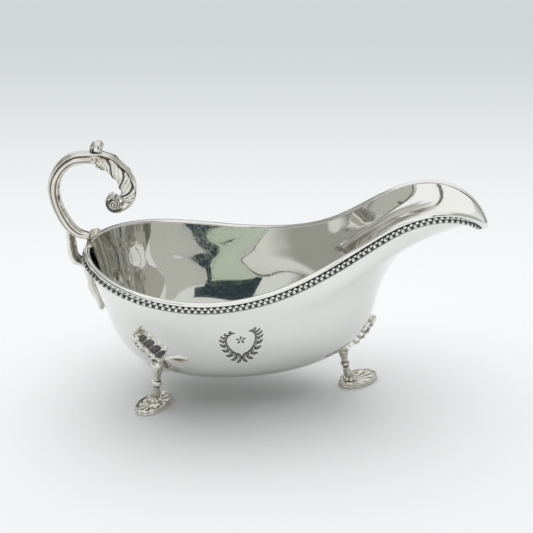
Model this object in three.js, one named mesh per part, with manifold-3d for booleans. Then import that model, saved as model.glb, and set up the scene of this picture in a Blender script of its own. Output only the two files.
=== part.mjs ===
// Silver sauce boat: an oval raised boat drawn out into a spout, on three cast shell feet,
// with a beaded border along its rim and a leaf-wrapped flying scroll handle at the back.
// Millimetres, +Z up, +X towards the spout, +Y to the far side. The table is at Z = 0.
import * as THREE from 'three';
import { mergeVertices } from 'three/addons/utils/BufferGeometryUtils.js';
import Module from 'manifold-3d';

const wasm = await Module();
wasm.setup();

// Boat
const boatLength = 172; // back of the rim to the tip of the lip
const boatWidth = 76.4; // across the rim where it is widest
const wall = 1.1; // thickness of the raised sheet
const keelHeight = 11.6; // table to the underside of the boat
const waistHeight = 62.5; // table to the body's edge where it is lowest
const backRise = 7.3; // the edge climbs this much from the waist to the back
const spoutRise = 31.5; // and this much from the waist to the crest of the spout
const keelShift = -20; // middle of the bottom, from the middle of the length
const beamShift = -16; // the widest section moves this much further back at the rim

// Border
const seam = 0.3; // solder line between neighbouring pieces
const edgeWireWidth = 2.6;
const edgeWireHeight = 1.2;
const beadDiameter = 2;
const beadPitch = 2.66;
const filletDiameter = 0.9;

// Handle
const handleHeight = 44.8; // body's edge at the back to the crest of the scroll's centreline
const scrollThickness = 5.4; // in the handle's plane, at the crest
const scrollWidth = 6.8; // across the handle's plane, at the crest
const leafThickness = 1.3;
const leafWrap = 125; // degrees that the leaf reaches round each side
const leafLobes = 4;
const thumbThickness = 2;
const thumbWidth = 4.6;
const bracketThickness = 4.8;
const bracketWidth = 4.4;
const bossLength = 5.6;
const bossWidth = 5;
const bossThickness = 3.4;
const stemDiameter = 3;

// Feet
const kneeThickness = 2.8;
const shellWidth = 9.8; // widest part of the knee shell
const neckWidth = 5.4; // its plain lower end
const shellLobes = 6;
const legTopWidth = 6;
const legWidth = 4.3;
const collarDiameter = 6.4;
const padThickness = 1.6;
const padRim = 0.6; // raised edge of the pad
const padLength = 20; // the pad is an oval with a lobed edge
const padWidth = 12;
const padLobes = 11;
const hubDiameter = 6.2; // boss under the leg
const hubHeight = 0.8;
const frontAnkle = 31; // ankle's distance ahead of the middle of the length
const rearAnkle = 57.5; // and behind it
const rearTrack = 36; // between the two rear ankles
const frontPadLead = 4.6; // the pad's middle ahead of the ankle, along its length
const rearPadLead = 0.9;

// The knee's middle line runs up the boat through four places, as [angle, level].
const rearKnee = [[100.8, 0.45], [114.5, 0.452], [120.8, 0.508], [128, 0.588]];
const rearFoot = { top: [121, 0.4], ankleX: -rearAnkle, lead: rearPadLead };
const feet = [
  {
    name: 'front',
    knee: [[0, 0.27], [0, 0.325], [0, 0.385], [0, 0.455]],
    top: [0, 0.3],
    ankleX: frontAnkle,
    ankleY: 0,
    heading: 30,
    lead: frontPadLead,
  },
  { name: 'rear_right', ...rearFoot, knee: rearKnee.map(([angle, level]) => [-angle, level]), top: [-121, 0.4], ankleY: -rearTrack / 2, heading: -132 },
  { name: 'rear_left', ...rearFoot, knee: rearKnee, ankleY: rearTrack / 2, heading: 132 },
];

// Facets
const roundSteps = 60; // around the boat
const levelSteps = 11; // from its bottom to its edge

const silver = { color: 0xcfcecb, roughness: 0.18, metalness: 1 };
const castSilver = { color: 0xbdb9b0, roughness: 0.3, metalness: 1 };

const vector = (x, y, z) => new THREE.Vector3(x, y, z);
const radians = THREE.MathUtils.degToRad;
const smooth = (low, high, value) => THREE.MathUtils.smoothstep(value, low, high);

// Closed skin through a row of rings. An open row is closed at both ends by a fan about its
// tip, or about the end ring's centre. The faces are turned outwards by the sign of the volume.
function loft(rings, { looped = false, tips = [] } = {}) {
  const count = rings[0].length;
  const points = rings.flat();
  const faces = [];
  const rows = looped ? rings.length : rings.length - 1;
  for (let row = 0; row < rows; row += 1) {
    const near = row * count;
    const far = ((row + 1) % rings.length) * count;
    for (let i = 0; i < count; i += 1) {
      const next = (i + 1) % count;
      faces.push([near + i, near + next, far + next], [near + i, far + next, far + i]);
    }
  }
  if (!looped) {
    [0, rings.length - 1].forEach((row, end) => {
      const ring = rings[row];
      const middle = ring.reduce((sum, point) => sum.add(point), vector(0, 0, 0)).divideScalar(count);
      points.push(tips[end] ?? middle);
      for (let i = 0; i < count; i += 1) {
        const pair = [row * count + i, row * count + ((i + 1) % count)];
        faces.push([points.length - 1, pair[end], pair[1 - end]].reverse());
      }
    });
  }
  const volume = faces.reduce((sum, [a, b, c]) => sum + points[a].dot(points[b].clone().cross(points[c])), 0);
  if (volume < 0) {
    faces.forEach((face) => face.reverse());
  }
  const geometry = new THREE.BufferGeometry();
  geometry.setAttribute('position', new THREE.Float32BufferAttribute(points.flatMap((p) => [p.x, p.y, p.z]), 3));
  geometry.setIndex(faces.flat());
  return geometry;
}

function toSolid(geometry) {
  const bare = geometry.clone();
  bare.deleteAttribute('normal');
  bare.deleteAttribute('uv');
  const merged = mergeVertices(bare, 1e-4);
  const vertProperties = new Float32Array(merged.attributes.position.array);
  const triVerts = new Uint32Array(merged.index.array);
  return new wasm.Manifold(new wasm.Mesh({ numProp: 3, vertProperties, triVerts }));
}

// Cutting a piece to fit can leave a sliver beyond its neighbour: only the piece proper is kept.
function toGeometry(solid) {
  const [whole] = solid.decompose().sort((a, b) => b.volume() - a.volume());
  const mesh = whole.getMesh();
  const geometry = new THREE.BufferGeometry();
  geometry.setAttribute('position', new THREE.BufferAttribute(new Float32Array(mesh.vertProperties), 3));
  geometry.setIndex(new THREE.BufferAttribute(new Uint32Array(mesh.triVerts), 1));
  return geometry;
}

// Curve through given points with continuous curvature. An end without a slope is left free.
function spline(knots, values, [startSlope, endSlope] = []) {
  const last = knots.length - 1;
  const spans = knots.slice(1).map((knot, i) => knot - knots[i]);
  const slopes = spans.map((span, i) => (values[i + 1] - values[i]) / span);
  const diagonal = [startSlope === undefined ? 1 : 2 * spans[0]];
  const above = [startSlope === undefined ? 0 : spans[0]];
  const bends = [startSlope === undefined ? 0 : 6 * (slopes[0] - startSlope)];
  for (let i = 1; i <= last; i += 1) {
    const free = i === last && endSlope === undefined;
    const below = free ? 0 : spans[i - 1];
    const whole = i < last ? 2 * (spans[i - 1] + spans[i]) : 2 * spans[i - 1];
    const change = i < last ? slopes[i] - slopes[i - 1] : (endSlope ?? 0) - slopes[i - 1];
    const share = below / diagonal[i - 1];
    diagonal[i] = (free ? 1 : whole) - share * above[i - 1];
    above[i] = i < last ? spans[i] : 0;
    bends[i] = (free ? 0 : 6 * change) - share * bends[i - 1];
  }
  for (let i = last; i >= 0; i -= 1) {
    bends[i] = (bends[i] - (i < last ? above[i] * bends[i + 1] : 0)) / diagonal[i];
  }
  return (at) => {
    const i = Math.min(Math.max(knots.findLastIndex((knot) => knot <= at), 0), last - 1);
    const ahead = (at - knots[i]) / spans[i];
    const left = 1 - ahead;
    const bow = ((left ** 3 - left) * bends[i] + (ahead ** 3 - ahead) * bends[i + 1]) * spans[i] ** 2 / 6;
    return left * values[i] + ahead * values[i + 1] + bow;
  };
}

// Profiles from the middle of the bottom to the edge, at equal levels, as
// [share of the way out, share of the way up to the edge at that place]
function profile(...pairs) {
  const knots = pairs.map((_pair, i) => i / (pairs.length - 1));
  const out = spline(knots, pairs.map(([share]) => share));
  const up = spline(knots, pairs.map(([, share]) => share), [0]);
  return (level) => ({ out: out(level), up: up(level) });
}

const frontProfile = profile(
  [0, 0], [0.236, 0.025], [0.424, 0.123], [0.547, 0.305], [0.59, 0.54], [0.688, 0.755], [0.863, 0.86], [1, 1],
);
const sideProfile = profile(
  [0, 0], [0.34, 0.031], [0.633, 0.15], [0.789, 0.37], [0.876, 0.6], [0.916, 0.72], [0.952, 0.84], [1, 1],
);
const backProfile = profile(
  [0, 0], [0.364, 0.026], [0.636, 0.116], [0.811, 0.295], [0.902, 0.574], [0.939, 0.723], [0.97, 0.863], [1, 1],
);

// A level curve of the boat is x = middle + lengthways cos(t) + egg cos(2t), y = breadth sin(t).
function levelShape(level) {
  const front = frontProfile(level);
  const side = sideProfile(level);
  const back = backProfile(level);
  const frontX = keelShift + front.out * (boatLength / 2 - keelShift);
  const backX = keelShift - back.out * (boatLength / 2 + keelShift);
  const beamX = keelShift + beamShift * Math.sin(level * Math.PI / 2);
  const centre = (frontX + backX) / 2;
  return {
    middle: (centre + beamX) / 2,
    egg: (centre - beamX) / 2,
    lengthways: (frontX - backX) / 2,
    breadth: side.out * boatWidth / 2,
    frontUp: front.up,
    sideUp: side.up,
    backUp: back.up,
  };
}

const rimShape = levelShape(1);

// Angle on the edge, from the tip at 0 to the back at 180 degrees, of a place along the boat
function edgeAngle(x) {
  const { middle, egg, lengthways } = rimShape;
  const root = Math.sqrt(Math.max(lengthways ** 2 - 8 * egg * (middle - egg - x), 0));
  return Math.acos(THREE.MathUtils.clamp((root - lengthways) / (4 * egg), -1, 1));
}

// The edge from the tip of the lip to the back, as
// [share of the half length, share of the half width, share of the climb]
const spoutStations = [
  [1, 0, 0.654], [0.988, 0.165, 0.698], [0.953, 0.275, 0.803], [0.895, 0.351, 0.914],
  [0.744, 0.437, 1], [0.558, 0.471, 0.86], [0.279, 0.547, 0.39], [0.035, 0.743, 0.117],
];
const backStations = [
  [-0.256, 0.948, 0], [-0.581, 0.984, 0.219], [-0.872, 0.662, 0.726], [-0.965, 0.366, 0.918], [-1, 0, 1],
];
const tipBluntness = 1.52; // half width at either end over the half width of an ellipse-like end
const backBluntness = 0.59;

function edgeStation([along, side, climb], rise) {
  const angle = edgeAngle(along * boatLength / 2);
  const fullness = side > 0 ? side / Math.sin(angle) : (along > 0 ? tipBluntness : backBluntness);
  return { angle, breadth: fullness * boatWidth / 2, height: waistHeight + climb * rise };
}

const stations = [
  ...spoutStations.map((station) => edgeStation(station, spoutRise)),
  ...backStations.map((station) => edgeStation(station, backRise)),
];
const stationAngles = stations.map((station) => station.angle);
const edgeBreadth = spline(stationAngles, stations.map((station) => station.breadth), [0, 0]);
const edgeHeight = spline(stationAngles, stations.map((station) => station.height), [0, 0]);
const throatPower = 1.6; // how late on the way up the sides draw in to follow the edge

// Place on the boat's outside. The angle runs once round from the tip by way of the +Y side.
function hullPoint(angle, level) {
  const shape = levelShape(level);
  const cosine = Math.cos(angle);
  const x = shape.middle + shape.lengthways * cosine + shape.egg * Math.cos(2 * angle);
  const below = edgeAngle(x);
  const toFront = Math.max(cosine, 0) ** 2;
  const toBack = Math.max(-cosine, 0) ** 2;
  const up = toFront * shape.frontUp + toBack * shape.backUp + (1 - toFront - toBack) * shape.sideUp;
  const drawnIn = (edgeBreadth(below) - rimShape.breadth) * level ** throatPower;
  return vector(
    x,
    Math.sin(angle) * (shape.breadth + drawnIn),
    keelHeight + (edgeHeight(below) - keelHeight) * up,
  );
}

// Place on the boat's outside with its outward normal, the direction up the wall square to the
// level curve, and the length that one radian covers there.
function hullFrame(angle, level) {
  const step = 0.002;
  const high = Math.min(level + step, 1);
  const along = hullPoint(angle + step, level).sub(hullPoint(angle - step, level)).divideScalar(2 * step);
  const climb = hullPoint(angle, high).sub(hullPoint(angle, high - 2 * step));
  const out = along.clone().cross(climb).normalize();
  const up = out.clone().cross(along).normalize();
  return { place: hullPoint(angle, level), out, up, turn: along.length() };
}

// Angles that divide the edge into equal lengths
function edgeSteps(count) {
  const fine = 1440;
  const places = Array.from({ length: fine + 1 }, (_, i) => hullPoint(i / fine * 2 * Math.PI, 1));
  const lengths = [0];
  places.slice(1).forEach((place, i) => lengths.push(lengths[i] + place.distanceTo(places[i])));
  const total = lengths[fine];
  let index = 0;
  return Array.from({ length: count }, (_, k) => {
    const wanted = k / count * total;
    while (lengths[index + 1] < wanted) {
      index += 1;
    }
    const share = (wanted - lengths[index]) / (lengths[index + 1] - lengths[index]);
    return (index + share) / fine * 2 * Math.PI;
  });
}

const edgeLength = edgeSteps(720).reduce((sum, angle, i, all) => (
  sum + hullPoint(angle, 1).distanceTo(hullPoint(all[(i + 1) % all.length], 1))
), 0);
const backEdge = hullPoint(Math.PI, 1);
const roundAngles = edgeSteps(roundSteps);

function hullRing(level, lift) {
  return roundAngles.map((angle) => {
    const { place, out } = hullFrame(angle, level);
    return place.addScaledVector(out, lift);
  });
}

// Levels are closer together near the edge, where the spout flares.
const levels = Array.from({ length: levelSteps }, (_, i) => Math.sin((i + 1) / levelSteps * Math.PI / 2) ** 0.85);
const keelPoint = vector(keelShift, 0, keelHeight);

function body() {
  const outside = levels.map((level) => hullRing(level, 0));
  const inside = levels.map((level) => hullRing(level, -wall)).reverse();
  return loft([...outside, ...inside], { tips: [keelPoint, keelPoint.clone().setZ(keelHeight + wall)] });
}

// The boat as a filled block, a seam larger than it is, which the pieces on it are cut back from
const hullBlock = toSolid(loft(levels.map((level) => hullRing(level, seam)), {
  tips: [keelPoint.clone().setZ(keelHeight - seam), vector(keelShift, 0, waistHeight)],
}));

// Frame on the boat's outside at a distance below its edge, measured square to the edge
function frameBelow(angle, drop) {
  const { place, up } = hullFrame(angle, 1);
  let low = 0.8;
  let high = 1;
  for (let i = 0; i < 24; i += 1) {
    const level = (low + high) / 2;
    const fallen = place.clone().sub(hullPoint(angle, level)).dot(up);
    [low, high] = fallen > drop ? [level, high] : [low, level];
  }
  return hullFrame(angle, high);
}

// A wire round the whole boat at a distance below its edge: its section is given as
// [outwards, upwards] from the boat's outside.
function trim(steps, drop, section) {
  const rings = edgeSteps(steps).map((angle, i) => {
    const { place, out, up } = frameBelow(angle, drop);
    return section(i).map(([outwards, upwards]) => (
      place.clone().addScaledVector(out, outwards).addScaledVector(up, upwards)
    ));
  });
  return loft(rings, { looped: true });
}

function roundSection(outwards, radius, sides) {
  return Array.from({ length: sides }, (_, i) => {
    const angle = i / sides * 2 * Math.PI;
    return [outwards + radius * Math.cos(angle), radius * Math.sin(angle)];
  });
}

// Half-round wire that sits on the body's edge and covers its wall
const wireSeat = 1.4 * seam;

function edgeWire() {
  const halfRound = Array.from({ length: 5 }, (_, i) => {
    const angle = i / 4 * Math.PI;
    return [edgeWireWidth / 2 * Math.cos(angle) - wall / 2, wireSeat + edgeWireHeight * Math.sin(angle)];
  });
  return trim(roundSteps, 0, () => halfRound);
}

const beadDrop = beadDiameter / 2 + seam;

function beadedWire() {
  const beads = Math.round(edgeLength / beadPitch);
  const ballRadius = beadDiameter / 2;
  const neckRadius = ballRadius * 0.5;
  return trim(beads * 2, beadDrop, (i) => (
    roundSection(seam + ballRadius, i % 2 ? neckRadius : ballRadius, 5)
  ));
}

function filletWire() {
  const radius = filletDiameter / 2;
  const drop = beadDrop + beadDiameter / 2 + seam + radius;
  return trim(2 * roundSteps, drop, () => roundSection(seam + radius, radius, 4));
}

// Bar with a round-cornered section along a smooth path. Each stop is [place, thickness, width].
// The thickness lies square to the side direction, in the plane that the path bends in.
function bar(stops, side, { perSpan = 3, sides = 8, grow = 0 } = {}) {
  const path = new THREE.CatmullRomCurve3(stops.map(([place]) => place), false, 'centripetal');
  const sizes = new THREE.SplineCurve(stops.map(([, thick, wide]) => new THREE.Vector2(thick, wide)));
  const steps = (stops.length - 1) * perSpan;
  const rings = Array.from({ length: steps + 1 }, (_, i) => {
    const place = path.getPoint(i / steps);
    const ahead = path.getTangent(i / steps);
    const size = sizes.getPoint(i / steps);
    const out = ahead.clone().cross(side).normalize();
    const across = out.clone().cross(ahead).normalize();
    return Array.from({ length: sides }, (_unused, k) => {
      const angle = (k + 0.5) / sides * 2 * Math.PI;
      return place.clone()
        .addScaledVector(out, (size.x / 2 + grow) * Math.cos(angle))
        .addScaledVector(across, (size.y / 2 + grow) * Math.sin(angle));
    });
  });
  return loft(rings);
}

// The scroll's centreline and section, from the rim over the crest to the curled end:
// [share forwards, share upwards, share of the thickness, share of the width]
const scrollStops = [
  [0.036, 0.143, 0.52, 0.62], [-0.055, 0.168, 0.71, 0.74], [-0.15, 0.253, 0.85, 0.82], [-0.203, 0.35, 0.88, 0.87],
  [-0.243, 0.46, 0.87, 0.92], [-0.264, 0.58, 0.93, 0.95], [-0.258, 0.7, 0.99, 0.98], [-0.218, 0.803, 0.98, 1],
  [-0.134, 0.905, 0.97, 1], [-0.035, 0.957, 0.98, 1], [0.068, 0.967, 0.95, 0.96], [0.16, 0.965, 1.06, 0.88],
  [0.255, 0.94, 1.12, 0.82], [0.35, 0.868, 1.13, 0.78], [0.425, 0.768, 1.13, 0.78], [0.459, 0.66, 1.1, 0.8],
  [0.452, 0.56, 0.92, 0.82], [0.41, 0.486, 0.74, 0.86], [0.348, 0.443, 0.6, 0.9], [0.29, 0.434, 0.5, 0.92],
  [0.245, 0.472, 0.42, 0.93], [0.243, 0.54, 0.36, 0.93], [0.285, 0.578, 0.3, 0.92],
];
const eyeStop = [0.302, 0.508];
const sideways = vector(0, 1, 0);
const fromBack = (forwards, upwards) => (
  vector(backEdge.x + forwards * handleHeight, 0, backEdge.z + upwards * handleHeight)
);
const scrollBar = (grow) => bar(
  scrollStops.map(([x, z, thick, wide]) => [fromBack(x, z), thick * scrollThickness, wide * scrollWidth]),
  sideways,
  { perSpan: 2, grow },
);
const eyeRadius = 0.05 * handleHeight;

function scrollSolid(grow) {
  const eye = new THREE.CylinderGeometry(eyeRadius + grow, eyeRadius + grow, 0.9 * scrollWidth + 2 * grow, 14);
  eye.translate(...fromBack(...eyeStop).toArray());
  return toSolid(scrollBar(grow)).add(toSolid(eye));
}

// Acanthus leaf wrapped round the inner side of the falling part of the scroll, open at the spine
function leafCap() {
  const path = new THREE.CatmullRomCurve3(scrollStops.map(([x, z]) => fromBack(x, z)), false, 'centripetal');
  const shares = new THREE.SplineCurve(scrollStops.map(([, , thick, wide]) => new THREE.Vector2(thick, wide)));
  const start = 11 / (scrollStops.length - 1);
  const end = 16.4 / (scrollStops.length - 1);
  const rows = 16;
  const rays = 7;
  const rings = Array.from({ length: rows + 1 }, (_, row) => {
    const share = row / rows;
    const at = THREE.MathUtils.lerp(start, end, share);
    const place = path.getPoint(at);
    const inwards = sideways.clone().cross(path.getTangent(at)).normalize();
    const size = shares.getPoint(at);
    const lobe = 0.78 + 0.22 * Math.abs(Math.sin(share * leafLobes * Math.PI));
    const reach = radians(leafWrap) * lobe * (1 - 0.35 * share ** 3);
    const arc = (lift, turn) => Array.from({ length: rays }, (_unused, k) => {
      const angle = turn * reach * (2 * k / (rays - 1) - 1);
      return place.clone()
        .addScaledVector(inwards, (size.x * scrollThickness / 2 + lift) * Math.cos(angle))
        .addScaledVector(sideways, (size.y * scrollWidth / 2 + lift) * Math.sin(angle));
    });
    return [...arc(seam + leafThickness, 1), ...arc(seam, -1)];
  });
  return loft(rings);
}

// Curled thumb-piece on the crest, where the leaf begins
function thumbPiece() {
  const crest = fromBack(0.16, 0.968).z + scrollThickness / 2;
  const curl = [[0.115, -0.06], [0.122, 0.4], [0.165, 0.76], [0.21, 0.64], [0.205, 0.3]]; // rises as shares of its width
  const stops = curl.map(([forwards, lift]) => (
    [fromBack(forwards, 0).setZ(crest + lift * thumbWidth), thumbThickness, thumbWidth]
  ));
  return toGeometry(toSolid(bar(stops, sideways, { perSpan: 2, sides: 6 })).subtract(scrollSolid(seam)));
}

// Strut from the underside of the scroll past the beads to the wall, with a tail that hangs below it
function bracket() {
  const besideWall = (level, gap, share) => (
    [hullPoint(Math.PI, level).add(vector(-seam - (gap + share / 2) * bracketThickness, 0, 0)), share, 0.85]
  );
  const stops = [
    [fromBack(-0.14, 0.225), 0.78, 1], [fromBack(-0.147, 0.147), 0.82, 1], [fromBack(-0.14, 0.03), 0.92, 1],
    [fromBack(-0.135, -0.045), 0.95, 1], [fromBack(-0.105, -0.105), 0.95, 1], besideWall(0.87, 0.12, 0.85),
    besideWall(0.79, 0.04, 0.75), besideWall(0.72, 0.04, 0.75), besideWall(0.66, 0.16, 0.78), besideWall(0.6, 0.06, 0.72),
    besideWall(0.55, 0.1, 0.6), besideWall(0.53, 0.3, 0.48),
  ];
  const taper = stops.map(([place, thick, wide]) => [place, bracketThickness * thick, bracketWidth * wide]);
  const strut = toSolid(bar(taper, sideways, { perSpan: 2, sides: 6 }));
  return toGeometry(strut.subtract(scrollSolid(seam)).subtract(hullBlock));
}

// Leaf bud at the scroll's lower end, on a short stem that stands on the edge wire
function rimBoss() {
  const seat = backEdge.z + wireSeat + edgeWireHeight + seam;
  const bud = new THREE.SphereGeometry(0.5, 14, 8);
  bud.scale(bossLength, bossWidth, bossThickness);
  bud.rotateY(radians(-22));
  bud.translate(...fromBack(0.09, 0.175).toArray());
  const stemHeight = fromBack(0, 0.16).z - seat;
  const stem = new THREE.CylinderGeometry(stemDiameter / 2 * 0.8, stemDiameter / 2, stemHeight, 10);
  stem.rotateX(Math.PI / 2);
  stem.translate(backEdge.x + stemDiameter / 2 - 0.2, 0, seat + stemHeight / 2);
  return toGeometry(toSolid(bud).add(toSolid(stem)).subtract(scrollSolid(seam)));
}

// Places on the boat at distances to each side of the knee's middle line, square to it
function besideKnee(foot, rise) {
  const knots = [0, 0.3, 0.62, 1];
  const angleAt = spline(knots, foot.knee.map(([angle]) => radians(angle)));
  const levelAt = spline(knots, foot.knee.map(([, level]) => level));
  const step = 0.002;
  const angle = angleAt(rise);
  const level = levelAt(rise);
  const { out } = hullFrame(angle, level);
  const byAngle = hullPoint(angle + step, level).sub(hullPoint(angle - step, level)).divideScalar(2 * step);
  const byLevel = hullPoint(angle, level + step).sub(hullPoint(angle, level - step)).divideScalar(2 * step);
  const ahead = hullPoint(angleAt(rise + step), levelAt(rise + step)).sub(hullPoint(angle, level));
  const aside = out.clone().cross(ahead).normalize();
  const [squareToLevel, squareToAngle] = [byLevel.clone().cross(out), byAngle.clone().cross(out)];
  const turn = aside.dot(squareToLevel) / byAngle.dot(squareToLevel);
  const climb = aside.dot(squareToAngle) / byLevel.dot(squareToAngle);
  return (distance) => hullFrame(angle + turn * distance, level + climb * distance);
}

// Shell that lies up the boat above a leg: a plain tail that opens into a lobed scallop
function kneeSolid(foot, grow) {
  const rows = 18;
  const rays = 7;
  const lengths = [0.3, 0.62, 1].map((_knot, i) => (
    hullPoint(radians(foot.knee[i + 1][0]), foot.knee[i + 1][1]).distanceTo(hullPoint(radians(foot.knee[i][0]), foot.knee[i][1]))
  ));
  const margin = grow / (lengths[0] + lengths[1] + lengths[2]);
  const rings = Array.from({ length: rows + 1 }, (_, row) => {
    const rise = row / rows;
    const place = besideKnee(foot, THREE.MathUtils.lerp(-margin, 1 + margin, rise));
    const crown = Math.sqrt(Math.max(1 - Math.max((rise - 0.78) / 0.225, 0) ** 2, 0.02));
    const lobe = 1 + 0.07 * smooth(0.35, 0.5, rise) * Math.cos(2 * Math.PI * shellLobes * rise);
    const opened = THREE.MathUtils.lerp(neckWidth, shellWidth, smooth(0.3, 0.55, rise));
    const half = opened / 2 * (0.45 + 0.55 * smooth(0, 0.16, rise)) * crown * lobe + grow;
    const arc = (lift, direction) => Array.from({ length: rays }, (_unused, k) => {
      const across = direction * (2 * k / (rays - 1) - 1);
      const frame = place(across * half);
      return frame.place.addScaledVector(frame.out, lift(across));
    });
    const thickness = kneeThickness * (0.4 + 0.15 * smooth(0, 0.3, rise) + 0.45 * crown * smooth(0.1, 0.5, rise));
    return [...arc((across) => seam + thickness * (1 - 0.6 * across ** 2) + grow, 1), ...arc(() => seam - grow, -1)];
  });
  return toSolid(loft(rings));
}

const padTop = padThickness + hubHeight;

function toe(foot) {
  return vector(Math.cos(radians(foot.heading)), Math.sin(radians(foot.heading)), 0);
}

// Short cabriole leg from under the knee to a collar above the pad
function leg(foot) {
  const { place, out } = hullFrame(radians(foot.top[0]), foot.top[1]);
  const top = place.addScaledVector(out, kneeThickness / 2);
  const ankle = vector(foot.ankleX, foot.ankleY, padTop + seam);
  const widths = [1.05 * legTopWidth, legTopWidth, 1.1 * legWidth, legWidth, collarDiameter, collarDiameter * 0.85];
  const drops = [0, 0.18, 0.45, 0.75, 0.9, 1];
  const stops = drops.map((drop, i) => {
    const point = top.clone().lerp(ankle, drop ** 1.6);
    point.z = THREE.MathUtils.lerp(top.z, ankle.z, drop);
    return [point, widths[i] * 0.9, widths[i]];
  });
  const side = toe(foot).applyAxisAngle(vector(0, 0, 1), Math.PI / 2);
  const shank = toSolid(bar(stops, side, { perSpan: 2 }));
  const below = new THREE.BoxGeometry(2 * padLength, 2 * padLength, padTop + seam);
  below.translate(foot.ankleX, foot.ankleY, (padTop + seam) / 2);
  return toGeometry(shank.subtract(kneeSolid(foot, seam)).subtract(hullBlock).subtract(toSolid(below)));
}

// Scallop pad: an oval with a lobed, raised edge, a round hub under the leg and a flat underside
function pad(foot) {
  const steps = 44;
  const ahead = toe(foot);
  const aside = ahead.clone().applyAxisAngle(vector(0, 0, 1), Math.PI / 2);
  const ankle = vector(foot.ankleX, foot.ankleY, 0);
  const turns = Array.from({ length: steps }, (_, i) => i / steps * 2 * Math.PI);
  const at = (forwards, sidewards, z) => (
    ankle.clone().addScaledVector(ahead, forwards).addScaledVector(aside, sidewards).setZ(z)
  );
  const oval = (scale, z) => turns.map((turn) => {
    const lobe = scale * (1 + 0.025 * Math.cos(padLobes * turn));
    return at(foot.lead + padLength / 2 * lobe * Math.cos(turn), padWidth / 2 * lobe * Math.sin(turn), z);
  });
  const hub = (share, z) => turns.map((turn) => (
    at(hubDiameter / 2 * share * Math.cos(turn), hubDiameter / 2 * share * Math.sin(turn), z)
  ));
  return loft([
    oval(0.95, 0), oval(1, padThickness * 0.4), oval(0.99, padThickness + padRim * 0.5),
    oval(0.93, padThickness + padRim), oval(0.84, padThickness), hub(1.04, padThickness), hub(0.9, padTop),
  ]);
}

const boat = new THREE.Group();

function addPiece(name, geometry, look) {
  geometry.computeVertexNormals();
  const mesh = new THREE.Mesh(geometry, new THREE.MeshStandardMaterial(look));
  mesh.name = name;
  boat.add(mesh);
}

addPiece('body', body(), silver);
addPiece('rim_edge_wire', edgeWire(), silver);
addPiece('beaded_wire', beadedWire(), silver);
addPiece('fillet_wire', filletWire(), silver);
addPiece('handle_scroll', toGeometry(scrollSolid(0)), castSilver);
addPiece('handle_leaf_cap', leafCap(), castSilver);
addPiece('handle_thumb_piece', thumbPiece(), castSilver);
addPiece('handle_bracket', bracket(), castSilver);
addPiece('handle_rim_boss', rimBoss(), castSilver);
feet.forEach((foot) => {
  addPiece(`${foot.name}_knee_shell`, toGeometry(kneeSolid(foot, 0)), castSilver);
  addPiece(`${foot.name}_leg`, leg(foot), castSilver);
  addPiece(`${foot.name}_pad`, pad(foot), castSilver);
});

// The whole piece stands on the origin, in the middle of its box.
const bounds = new THREE.Box3().setFromObject(boat);
const middle = bounds.getCenter(vector(0, 0, 0));
boat.position.set(-middle.x, -middle.y, -bounds.min.z);
boat.updateMatrixWorld(true);

export default boat;
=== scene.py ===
# Silver sauce boat on three shell feet, with a beaded rim and a leaf-wrapped flying scroll handle.
# Shapes are worked out in millimetres, with +X towards the spout and the table at Z = 0.
import math

import bpy
import numpy as np
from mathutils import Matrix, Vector


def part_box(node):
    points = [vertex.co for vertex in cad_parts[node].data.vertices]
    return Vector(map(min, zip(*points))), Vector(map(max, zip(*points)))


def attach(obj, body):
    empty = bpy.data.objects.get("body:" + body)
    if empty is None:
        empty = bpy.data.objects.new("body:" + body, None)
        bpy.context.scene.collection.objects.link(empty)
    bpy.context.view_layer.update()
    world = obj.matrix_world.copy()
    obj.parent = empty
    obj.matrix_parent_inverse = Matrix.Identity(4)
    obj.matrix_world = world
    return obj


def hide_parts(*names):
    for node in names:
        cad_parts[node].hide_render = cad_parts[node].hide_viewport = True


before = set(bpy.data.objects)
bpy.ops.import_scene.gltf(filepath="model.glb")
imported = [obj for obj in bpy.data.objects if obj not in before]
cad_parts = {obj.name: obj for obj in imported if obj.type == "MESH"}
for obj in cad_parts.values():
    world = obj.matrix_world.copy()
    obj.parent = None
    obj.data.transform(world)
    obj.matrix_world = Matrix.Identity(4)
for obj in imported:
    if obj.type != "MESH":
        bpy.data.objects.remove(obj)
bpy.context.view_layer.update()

tau = 2 * math.pi
hull = {
    "length": 172,
    "width": 76.4,
    "wall": 1.1,
    "keelHeight": 11.6,
    "waistHeight": 62.5,
    "backRise": 7.3,
    "spoutRise": 31.5,
    "keelShift": -20,
    "beamShift": -16,
    "throatPower": 1.6,
    "tipBluntness": 1.52,
    "backBluntness": 0.59,
    # profiles from the keel to the edge: shares of the way out and of the way up
    "front": [
        [0, 0], [0.236, 0.025], [0.424, 0.123], [0.547, 0.305],
        [0.59, 0.54], [0.688, 0.755], [0.863, 0.86], [1, 1],
    ],
    "side": [
        [0, 0], [0.34, 0.031], [0.633, 0.15], [0.789, 0.37],
        [0.876, 0.6], [0.916, 0.72], [0.952, 0.84], [1, 1],
    ],
    "back": [
        [0, 0], [0.364, 0.026], [0.636, 0.116], [0.811, 0.295],
        [0.902, 0.574], [0.939, 0.723], [0.97, 0.863], [1, 1],
    ],
    # the edge seen from above and its rise: shares of the half length, the half width and the rise there
    "spoutStations": [
        [1, 0, 0.654], [0.988, 0.165, 0.698], [0.953, 0.275, 0.803], [0.895, 0.351, 0.914],
        [0.744, 0.437, 1], [0.558, 0.471, 0.86], [0.279, 0.547, 0.39], [0.035, 0.743, 0.117],
    ],
    "backStations": [
        [-0.256, 0.948, 0], [-0.581, 0.984, 0.219], [-0.872, 0.662, 0.726],
        [-0.965, 0.366, 0.918], [-1, 0, 1],
    ],
    "seam": 0.3,
}
halfLength = hull["length"] / 2
halfWidth = hull["width"] / 2
seam = hull["seam"]
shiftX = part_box("body")[0].x * 1000 + halfLength  # the frame has its origin in the middle of the whole box


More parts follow.
